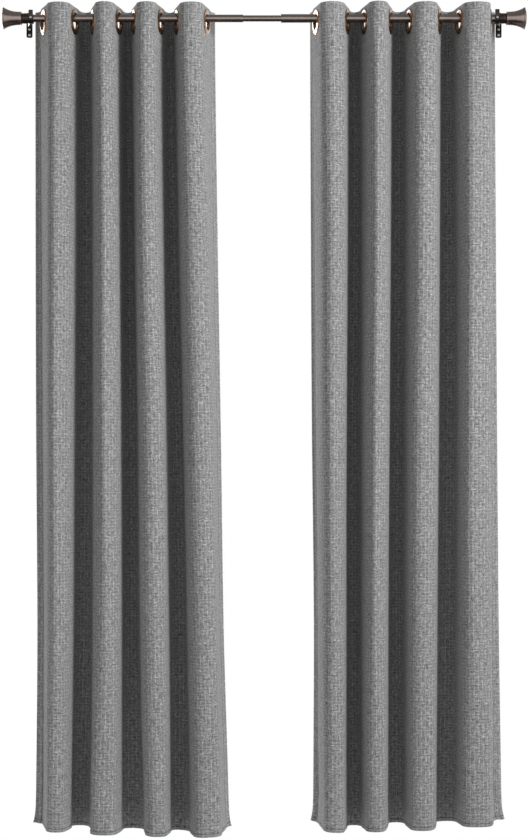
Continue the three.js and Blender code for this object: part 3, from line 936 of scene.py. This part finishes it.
def surface_at(grid, across, down, face):
    """Points on one face of the finished cloth."""
    columns, rows, points, normals, half = grid
    column = np.interp(across, columns, np.arange(len(columns)))
    row = np.interp(down, rows, np.arange(len(rows)))
    c0, r0 = np.minimum(column.astype(int), len(columns) - 2), np.minimum(row.astype(int), len(rows) - 2)
    fc, fr = (column - c0)[:, None], (row - r0)[:, None]

    def blend_of(values):
        upper = values[r0, c0] * (1 - fc) + values[r0, c0 + 1] * fc
        lower = values[r0 + 1, c0] * (1 - fc) + values[r0 + 1, c0 + 1] * fc
        return upper * (1 - fr) + lower * fr

    thick = blend_of(half.reshape(points.shape[0], points.shape[1], 1))
    return blend_of(points) + blend_of(normals) * (thick + 0.00005) * face


def panel_stitches(panel, grid, tree, thread):
    step = 0.004
    down = np.arange(0.006, panel.length - 0.004, step)
    across = np.arange(0.006, PANEL_WIDTH - 0.006, step)
    lines = []
    for face in (1, -1):
        for inset in (SIDE_HEM - 0.003, PANEL_WIDTH - SIDE_HEM + 0.003):
            lines.append(surface_at(grid, np.full_like(down, inset), down, face))
        for below in (HEADER_DEPTH - 0.003, panel.length - BOTTOM_HEM + 0.0022):
            lines.append(surface_at(grid, across, np.full_like(across, below), face))
    points, edges = [], []
    for line in lines:
        first = len(points)
        points.extend(map(tuple, line))
        edges.extend((first + number, first + number + 1) for number in range(len(line) - 1))
    mesh = bpy.data.meshes.new(f"{panel.name}_sewn_lines")
    mesh.from_pydata(points, edges, [])
    sewn = piece_of(f"{panel.name}_sewn_lines", mesh)
    sewing = sewn.modifiers.new("sewing", "NODES")
    sewing.node_group = tree
    values = {"Spacing": 0.0042, "Stitch Length": 0.0034, "Thread Width": 0.0010, "Thread": thread}
    for item in tree.interface.items_tree:
        if item.item_type == "SOCKET" and item.in_out == "INPUT" and item.name in values:
            sewing[item.identifier] = values[item.name]
    stitched = evaluated_mesh(sewn)
    bpy.data.objects.remove(sewn)
    stitched.name = f"{panel.name}_panel_stitches"
    stitches = piece_of(f"{panel.name}_panel_stitches", stitched)
    bend_with_panel(stitches, panel)
    return stitches


# Grommets
def grommet_mesh(name):
    """Two snap rings, each with a rolled bore and a domed flange, pressed together through the cloth."""
    slot = 0.00125
    outer, bore, barrel = GROMMET_RADIUS, BORE_RADIUS, BARREL_RADIUS
    builder = bmesh.new()
    for face in (1, -1):
        profile = [
            (bore + 0.0001, 0.0003, 0.0001),
            (bore, 0.0036, 0.0008),
            (bore + 0.0018, 0.0047, 0.0016),
            (bore + 0.0060, 0.0048, 0.0024),
            (bore + 0.0068, 0.0042, 0.0003),
            (outer - 0.0032, 0.0037, 0.0030),
            (outer - 0.0004, 0.0023, 0.0012),
            (outer, slot, 0.0003),
            (barrel, slot, 0.0003),
            (barrel, 0.0003, 0.0001),
        ]
        ring = turned_mesh(
            name, [(radius, face * along, fillet) for radius, along, fillet in profile], 72, closed=True
        )
        builder.from_mesh(ring)
        bpy.data.meshes.remove(ring)
    mesh = bpy.data.meshes.new(name)
    builder.to_mesh(mesh)
    builder.free()
    mesh.shade_smooth()
    mesh.set_sharp_from_angle(angle=SHARP_ANGLE)
    return mesh


def panel_grommets(panel, material):
    rings = []
    for index in range(GROMMET_COUNT):
        node = f"{panel.name}_grommet_{index + 1}"
        mesh = grommet_mesh(f"{node}_rings")
        front = 1 if index % 2 == 0 else -1
        yaw = -panel.side * front * panel.tilt(index)
        place_mesh(mesh, (panel.side * panel.header[index], ROD_Y, panel.grommet_z), yaw)
        mesh.materials.append(material)
        ring = piece_of(f"{node}_rings", mesh)
        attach(ring, panel.body(index))
        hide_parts(node)
        rings.append(ring)
    return rings


def place_mesh(mesh, where, yaw=0.0):
    points = np.zeros(len(mesh.vertices) * 3)
    mesh.vertices.foreach_get("co", points)
    points = points.reshape(-1, 3)
    cos, sin = math.cos(yaw), math.sin(yaw)
    turned = np.stack(
        [points[:, 0] * cos - points[:, 1] * sin, points[:, 0] * sin + points[:, 1] * cos, points[:, 2]], 1
    )
    mesh.vertices.foreach_set("co", (turned + np.array(where)).astype(np.float32).ravel())
    mesh.update()


# Rod
def rod_piece(name, node, body, corners, sides, material, closed=True):
    """A turned piece on the rod's axis. The profile's distances are x values."""
    mesh = turned_mesh(name, corners, sides, closed)
    place_mesh(mesh, (0, ROD_Y, 0))
    mesh.materials.append(material)
    piece = piece_of(name, mesh)
    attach(piece, body)
    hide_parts(node)


def radius_of(node):
    low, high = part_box(node)
    return (high.z - low.z) / 2


def tube(node, body, material):
    low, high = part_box(node)
    outer = radius_of(node)
    inner = outer - TUBE_WALL
    corners = [
        (inner, low.x, 0.0003),
        (outer, low.x, 0.0004),
        (outer, high.x, 0.0004),
        (inner, high.x, 0.0003),
    ]
    rod_piece(f"{node}_metal", node, body, corners, 96, material)


def guide_bush(material):
    low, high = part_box("guide_bush")
    outer, inner = radius_of("guide_bush"), radius_of("inner_tube") + BUSH_CLEARANCE
    corners = [
        (inner, low.x, 0.0004),
        (outer, low.x, 0.0004),
        (outer, high.x, 0.0004),
        (inner, high.x, 0.0004),
    ]
    rod_piece("guide_bush_ring", "guide_bush", "right_tube", corners, 72, material)


def end_plug(side, body, material):
    """Collar with a groove turned near each end, and the plug behind it."""
    name = "right" if side > 0 else "left"
    low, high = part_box(f"{name}_end_plug")
    end = high.x if side > 0 else -low.x
    inside = low.x if side > 0 else -high.x
    collar = radius_of(f"{name}_end_plug")
    shoulder = end - COLLAR_LENGTH
    plug = radius_of(f"{name}_outer_tube") - PLUG_CLEARANCE
    corners = [
        (PLUG_BORE_RADIUS, inside, 0.0003),
        (plug, inside, 0.0005),
        (plug, shoulder, 0),
        (collar, shoulder, 0.0012),
        (collar, shoulder + 0.0036, 0.0003),
        (collar - COLLAR_GROOVE, shoulder + 0.0042, 0.0003),
        (collar, shoulder + 0.0048, 0.0003),
        (collar, end - 0.0048, 0.0003),
        (collar - COLLAR_GROOVE, end - 0.0042, 0.0003),
        (collar, end - 0.0036, 0.0003),
        (collar, end, 0.0012),
        (PLUG_BORE_RADIUS, end, 0.0003),
    ]
    corners = [(radius, side * along, fillet) for radius, along, fillet in corners]
    rod_piece(f"{name}_collar", f"{name}_end_plug", body, corners, 72, material)


def finial(side, material):
    """A flared bell with a bead at its neck, a rolled rim and a low dome, and the stud that it turns on."""
    name = "right" if side > 0 else "left"
    low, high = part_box(f"{name}_finial")
    tip = high.x if side > 0 else -low.x
    inside = low.x if side > 0 else -high.x
    mouth = radius_of(f"{name}_finial")
    start = inside + STUD_LENGTH
    neck = FINIAL_NECK_RADIUS
    rim = tip - FINIAL_DOME - FINIAL_LIP
    corners = [
        (0, inside, 0),
        (STUD_RADIUS - 0.0008, inside, 0.0003),
        (STUD_RADIUS, inside + 0.001, 0.0003),
        (STUD_RADIUS, start, 0),
        (neck - 0.0009, start, 0.0006),
        (neck - 0.0002, start + 0.0016, 0.0006),
        (neck - 0.0010, start + 0.0030, 0.0004),
    ]
    for share in np.linspace(0.10, 0.985, 22):
        radius = neck - 0.0004 + (mouth - 0.0006 - neck) * share**FINIAL_FLARE
        corners.append((radius, start + (rim - start) * share, 0))
    corners += [
        (mouth - 0.0010, rim - 0.0002, 0.0003),
        (mouth, rim + 0.0006, 0.0009),
        (mouth, rim + FINIAL_LIP - 0.0004, 0.0010),
        (mouth - 0.0030, rim + FINIAL_LIP + 0.0002, 0.0006),
        (mouth - 0.0042, rim + FINIAL_LIP - 0.0006, 0.0005),
    ]
    for share in np.linspace(0.12, 0.999, 14):
        radius = (mouth - 0.0042) * math.cos(share * math.pi / 2)
        swell = (FINIAL_DOME + 0.0006) * math.sin(share * math.pi / 2)
        corners.append((radius, rim + FINIAL_LIP - 0.0006 + swell, 0))
    corners.append((0, tip, 0))
    corners = [(radius, side * along, fillet) for radius, along, fillet in corners]
    body = f"{name}_finial"
    rod_piece(f"{name}_finial_bell", body, body, corners, 96, material, closed=False)


# Brackets and screws
def wall_bracket(name, material):
    """The bracket with its edges rounded over."""
    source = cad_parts[f"{name}_wall_bracket"]
    builder = bmesh.new()
    builder.from_mesh(source.data)
    bmesh.ops.remove_doubles(builder, verts=builder.verts, dist=1e-6)
    bmesh.ops.dissolve_limit(builder, angle_limit=math.radians(1), verts=builder.verts, edges=builder.edges)
    mesh = bpy.data.meshes.new(f"{name}_bracket_cast")
    builder.to_mesh(mesh)
    builder.free()
    mesh.materials.clear()
    rough = piece_of(f"{name}_bracket_rough", mesh)
    edges = rough.modifiers.new("rounded", "BEVEL")
    edges.width = 0.0007
    edges.segments = 3
    edges.limit_method = "ANGLE"
    edges.angle_limit = math.radians(35)
    rounded = evaluated_mesh(rough)
    bpy.data.objects.remove(rough)
    rounded.name = f"{name}_bracket_cast"
    rounded.shade_smooth()
    rounded.set_sharp_from_angle(angle=math.radians(32))
    rounded.materials.append(material)
    piece = piece_of(f"{name}_bracket_cast", rounded)
    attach(piece, "wall_brackets")
    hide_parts(f"{name}_wall_bracket")


def slotted_screw(node, body, material):
    """A domed head with a slot, and its shank with a ridge for each turn of its thread."""
    low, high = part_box(node)
    middle_x, middle_z = (low.x + high.x) / 2, (low.z + high.z) / 2
    head = (high.z - low.z) / 2
    shank = SCREW_SHANK_RADIUS
    tall = HEAD_HEIGHT["wall" if "wall" in node else "set"]
    top, bottom = low.y, high.y
    under = top + tall
    corners = [
        (0, 0, 0),
        (head * 0.35, 0.0001, 0),
        (head * 0.66, tall * 0.22, 0.0010),
        (head * 0.90, tall * 0.58, 0.0008),
        (head, tall * 0.93, 0.0002),
        (head * 0.97, tall, 0.0001),
        (shank, tall, 0),
    ]
    turns = max(3, int((bottom - under - 0.0006) / THREAD_PITCH))
    for number in range(turns):
        along = tall + 0.0004 + number * THREAD_PITCH
        corners += [(shank, along, 0), (shank * 0.82, along + THREAD_PITCH / 2, 0)]
    corners += [(shank * 0.6, bottom - top, 0), (0, bottom - top, 0)]
    mesh = turned_mesh(f"{node}_turned", corners, 40, closed=False)
    place_mesh(mesh, (0, 0, 0), math.pi / 2)
    turned = piece_of(f"{node}_turned", mesh)
    size = (head * 3, 0.0018, 0.001)
    block = bmesh.new()
    bmesh.ops.create_cube(block, size=1.0)
    for vertex in block.verts:
        vertex.co = [vertex.co[axis] * size[axis] for axis in range(3)]
    cutter_mesh = bpy.data.meshes.new(f"{node}_slot")
    block.to_mesh(cutter_mesh)
    block.free()
    cutter = piece_of(f"{node}_slot", cutter_mesh)
    cut = turned.modifiers.new("slot", "BOOLEAN")
    cut.operation = "DIFFERENCE"
    cut.object = cutter
    cut.solver = "EXACT"
    slotted = evaluated_mesh(turned)
    bpy.data.objects.remove(turned)
    bpy.data.objects.remove(cutter)
    slotted.name = f"{node}_slotted"
    slotted.transform(Matrix.Translation((middle_x, top, middle_z)))
    slotted.shade_smooth()
    slotted.set_sharp_from_angle(angle=SHARP_ANGLE)
    slotted.materials.clear()
    slotted.materials.append(material)
    piece = piece_of(f"{node}_slotted", slotted)
    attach(piece, body)
    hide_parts(node)


# Room
def soft_box(name, where, aim, size, power):
    light = bpy.data.lights.new(name, "AREA")
    light.shape = "RECTANGLE"
    light.size, light.size_y = size
    light.energy = power
    lamp = bpy.data.objects.new(name, light)
    scene.collection.objects.link(lamp)
    lamp.location = where
    lamp.rotation_euler = (Vector(aim) - Vector(where)).to_track_quat("-Z", "Y").to_euler()
    return lamp


def room():
    floor_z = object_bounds()[0][2] - FLOOR_GAP
    mesh = mesh_of(
        "floor",
        [(-2.2, -3.0, floor_z), (2.2, -3.0, floor_z), (2.2, 0.1, floor_z), (-2.2, 0.1, floor_z)],
        [(0, 1, 2, 3)],
    )
    floor = piece_of("floor", mesh)
    material, _, surface = new_material("pale_floor")
    surface.inputs["Base Color"].default_value = (0.84, 0.84, 0.84, 1)
    surface.inputs["Roughness"].default_value = 0.8
    mesh.materials.append(material)
    floor.visible_glossy = False
    floor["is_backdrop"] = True

    world = bpy.data.worlds.new("room")
    scene.world = world
    world.use_nodes = True
    shade = Shading(world.node_tree)
    world.node_tree.nodes.clear()
    seen = shade.node("ShaderNodeBackground")
    seen.inputs["Color"].default_value = (1, 1, 1, 1)
    seen.inputs["Strength"].default_value = 1.0
    fill = shade.node("ShaderNodeBackground")
    fill.inputs["Color"].default_value = (1, 1, 1, 1)
    # What metal mirrors: a bright panel in front and another behind, a dim ceiling and a dark floor.
    mirrored = shade.node("ShaderNodeBackground")
    split = shade.node("ShaderNodeSeparateXYZ")
    shade.link(shade.node("ShaderNodeTexCoord").outputs["Generated"], split.inputs[0])
    towards, up = shade.math("ABSOLUTE", split.outputs[1]), split.outputs[2]
    shade.link(shade.spread(up, -0.6, 0.6, 0.32, 0.52), fill.inputs["Strength"])
    low_edge, high_edge = shade.spread(up, -0.62, -0.38), shade.spread(up, 0.50, 0.26)
    panel = shade.math("MULTIPLY", low_edge, high_edge)
    panel = shade.math("MULTIPLY", panel, shade.spread(towards, 0.1, 0.4))
    ambient = shade.spread(up, -0.5, 0.9, 0.05, 0.42)
    shade.link(shade.math("ADD", ambient, shade.math("MULTIPLY", panel, 1.55)), mirrored.inputs["Strength"])
    rays = shade.node("ShaderNodeLightPath")
    by_gloss, mixed = shade.node("ShaderNodeMixShader"), shade.node("ShaderNodeMixShader")
    result = shade.node("ShaderNodeOutputWorld")
    shade.link(rays.outputs["Is Glossy Ray"], by_gloss.inputs[0])
    shade.link(fill.outputs[0], by_gloss.inputs[1])
    shade.link(mirrored.outputs[0], by_gloss.inputs[2])
    shade.link(rays.outputs["Is Camera Ray"], mixed.inputs[0])
    shade.link(by_gloss.outputs[0], mixed.inputs[1])
    shade.link(seen.outputs[0], mixed.inputs[2])
    shade.link(mixed.outputs[0], result.inputs[0])

    key = soft_box("key_light", (3.9, -4.1, 0.6), (-0.5, 0, -0.5), (1.5, 2.2), 54)
    key.data.spread = math.radians(70)
    key.visible_glossy = False
    soft_box("back_light", (-2.2, 3.4, 0.4), (0, 0, -1.0), (2.0, 2.0), 130)


def camera():
    data = bpy.data.cameras.new("camera")
    data.sensor_fit = "VERTICAL"
    data.sensor_height = 36
    data.lens = CAMERA_LENS
    data.shift_y = CAMERA_RISE
    data.clip_end = 50
    view = bpy.data.objects.new("camera", data)
    scene.collection.objects.link(view)
    view.location = (0, ROD_Y - CAMERA_DISTANCE, CAMERA_Z)
    view.rotation_euler = (math.pi / 2, 0, 0)
    scene.camera = view


def build():
    camera()
    room()
    scene.view_settings.view_transform = "Standard"

    weave, patina = tweed_weave_group(), patina_group()
    panels = [Panel(name) for name in PANELS]
    tweed = tweed_material(weave, panels[0].length)
    thread = thread_material()
    rod_bronze, finial_bronze, black_bronze, copper_bronze = (
        bronze_material(f"{name}_metal", patina, dark, bare, metallic)
        for name, dark, bare, metallic in (
            ("rod_bronze", (0.25, 0.205, 0.180), (0.46, 0.38, 0.33), 0.95),
            ("finial_bronze", (0.25, 0.20, 0.180), (0.46, 0.37, 0.32), 0.95),
            ("black_bronze", (0.030, 0.024, 0.021), (0.14, 0.10, 0.075), 0.7),
            ("copper_bronze", (0.27, 0.165, 0.10), (0.62, 0.42, 0.28), 0.95),
        )
    )
    nylon, steel = nylon_material(), steel_material()

    sewing = stitch_tree()
    for panel in panels:
        let_hang(panel)
        cloth, grid = panel_cloth(panel, tweed)
        stitches = panel_stitches(panel, grid, sewing, thread)
        rings = panel_grommets(panel, copper_bronze)

    tube("left_outer_tube", "left_tube", rod_bronze)
    tube("right_outer_tube", "right_tube", rod_bronze)
    tube("inner_tube", "inner_tube", rod_bronze)
    guide_bush(nylon)
    for side, name in ((-1, "left"), (1, "right")):
        end_plug(side, f"{name}_tube", black_bronze)
        finial(side, finial_bronze)
        wall_bracket(name, black_bronze)
        slotted_screw(f"{name}_set_screw", f"{name}_set_screw", steel)
        for place in ("upper", "lower"):
            slotted_screw(f"{name}_wall_screw_{place}", "wall_brackets", steel)


build()
